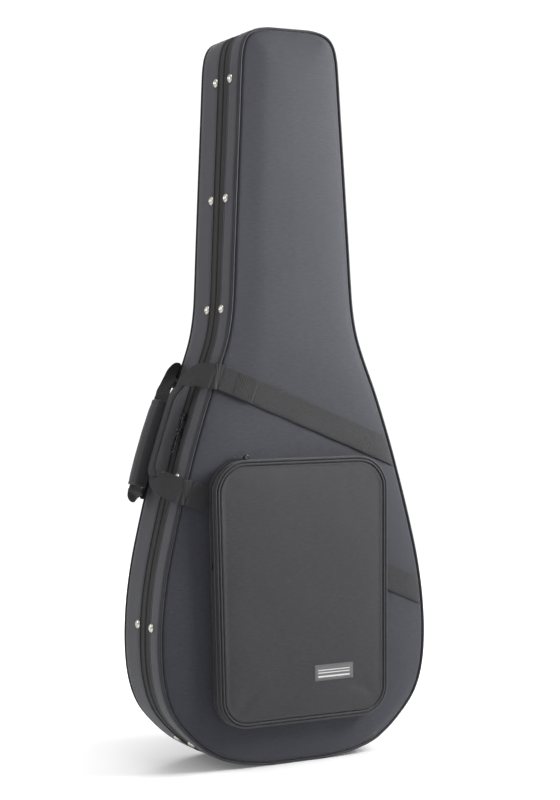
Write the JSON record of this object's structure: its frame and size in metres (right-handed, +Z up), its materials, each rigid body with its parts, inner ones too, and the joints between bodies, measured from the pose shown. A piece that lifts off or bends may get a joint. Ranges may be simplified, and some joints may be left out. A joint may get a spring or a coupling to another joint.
{
  "type": "padded guitar gig bag",
  "caption": "Padded, foam-lined gig bag for a full-size classical guitar with zipped side-opening lid, front pocket, side carry handles and back straps.",
  "frame": {"origin": "centre of the flat foot, on the floor plane, in line with the middle of the case's depth without its pocket", "axes": "+X to the right seen from the front, -Y out of the pocket side, +Z up from the foot to the head end"},
  "size_m": [0.4529, 0.1757, 1.1],
  "materials": {
    "shell_fabric": "matte",
    "foam": "matte",
    "plush": "matte",
    "binding": "matte",
    "zip_tape": "matte",
    "webbing": "matte",
    "pocket_fabric": "matte",
    "nickel": "polished",
    "dark_metal": "satin",
    "grip_cover": "matte",
    "buckle_plastic": "matte",
    "label": "matte"
  },
  "bodies": {
    "rear_shell": {"rear_cover": "shell_fabric", "rear_foam": "foam", "rear_lining": "plush", "rear_rim": "binding", "rear_piping": "binding", "rear_zip_tape": "zip_tape", "spine_hinge": "shell_fabric", "neck_cradle": "plush", "rear_webbing_upper": "webbing", "rear_webbing_lower": "webbing", "rear_stud_1": "nickel", "rear_stud_2": "nickel", "rear_stud_3": "nickel", "rear_stud_4": "nickel", "rear_stud_5": "nickel", "rear_stud_6": "nickel", "strap_top_patch_left": "webbing", "strap_top_patch_right": "webbing", "strap_foot_patch_left": "webbing", "strap_foot_patch_right": "webbing"},
    "lid": {"lid_cover": "shell_fabric", "lid_foam": "foam", "lid_lining": "plush", "lid_rim": "binding", "lid_piping": "binding", "lid_zip_tape": "zip_tape", "lid_webbing_upper": "webbing", "lid_webbing_lower": "webbing", "lid_stud_1": "nickel", "lid_stud_2": "nickel", "lid_stud_3": "nickel", "lid_stud_4": "nickel", "lid_stud_5": "nickel", "lid_stud_6": "nickel", "pocket_gusset": "pocket_fabric", "pocket_lower_panel": "pocket_fabric", "pocket_lower_piping": "binding", "pocket_label": "label"},
    "pocket_flap": {"pocket_flap_panel": "pocket_fabric", "pocket_flap_piping": "binding"},
    "pocket_zip_slider": {"pocket_slider": "dark_metal"},
    "pocket_zip_pull": {"pocket_pull": "dark_metal"},
    "upper_zip_slider": {"upper_slider": "dark_metal"},
    "upper_zip_pull": {"upper_pull": "dark_metal"},
    "lower_zip_slider": {"lower_slider": "dark_metal"},
    "lower_zip_pull": {"lower_pull": "dark_metal"},
    "rear_handle": {"rear_handle_webbing": "webbing", "grip_wrap": "grip_cover"},
    "front_handle": {"front_handle_webbing": "webbing"},
    "neck_strap": {"neck_strap": "webbing"},
    "strap_left": {"strap_pad_left": "pocket_fabric", "strap_tail_left": "webbing", "ladder_lock_left": "buckle_plastic"},
    "strap_right": {"strap_pad_right": "pocket_fabric", "strap_tail_right": "webbing", "ladder_lock_right": "buckle_plastic"}
  },
  "joints": [
    {"name": "lid_hinge", "type": "hinge", "parent": "rear_shell", "child": "lid", "pos_m": [0.228, -0.012, 0.205], "axis": [0, 0, 1], "range_deg": [0, 170], "deforming": ["spine_hinge"]},
    {"name": "rear_handle_swing", "type": "hinge", "parent": "rear_shell", "child": "rear_handle", "pos_m": [-0.15951, 0.066, 0.50532], "axis": [-0.3173, 0, -0.9483], "range_deg": [0, 80]},
    {"name": "front_handle_swing", "type": "hinge", "parent": "lid", "child": "front_handle", "pos_m": [-0.15951, -0.066, 0.50532], "axis": [0.3173, 0, 0.9483], "range_deg": [0, 80]},
    {"name": "upper_slider_travel", "type": "slide", "parent": "rear_shell", "child": "upper_zip_slider", "axis": [0.3173, 0, 0.9483], "range_m": [0, 0.075]},
    {"name": "upper_pull_swing", "type": "hinge", "parent": "upper_zip_slider", "child": "upper_zip_pull", "pos_m": [-0.15924, -0.012, 0.52315], "axis": [0, 1, 0], "range_deg": [0, 150]},
    {"name": "lower_slider_travel", "type": "slide", "parent": "rear_shell", "child": "lower_zip_slider", "axis": [-0.3173, 0, -0.9483], "range_m": [0, 0.075]},
    {"name": "lower_pull_swing", "type": "hinge", "parent": "lower_zip_slider", "child": "lower_zip_pull", "pos_m": [-0.16669, -0.012, 0.50087], "axis": [0, 1, 0], "range_deg": [0, 150]},
    {"name": "pocket_flap_hinge", "type": "hinge", "parent": "lid", "child": "pocket_flap", "pos_m": [0, -0.0925, 0.308], "axis": [1, 0, 0], "range_deg": [0, 75]},
    {"name": "pocket_slider_travel", "type": "slide", "parent": "lid", "child": "pocket_zip_slider", "axis": [1, 0, 0], "range_m": [0, 0.176]},
    {"name": "pocket_pull_swing", "type": "hinge", "parent": "pocket_zip_slider", "child": "pocket_zip_pull", "pos_m": [-0.088, -0.08, 0.46412], "axis": [0, 1, 0], "range_deg": [0, 150]},
    {"name": "neck_strap_lift", "type": "hinge", "parent": "rear_shell", "child": "neck_strap", "pos_m": [-0.052, 0.0065, 0.9275], "axis": [0, 0, -1], "range_deg": [0, 100], "deforming": ["neck_strap"]},
    {"name": "strap_left_swing", "type": "hinge", "parent": "rear_shell", "child": "strap_left", "pos_m": [-0.068, 0.0698, 0.446], "axis": [-0.145, 0, -0.9894], "range_deg": [0, 90]},
    {"name": "strap_right_swing", "type": "hinge", "parent": "rear_shell", "child": "strap_right", "pos_m": [0.068, 0.0698, 0.446], "axis": [-0.145, 0, 0.9894], "range_deg": [0, 90]}
  ]
}
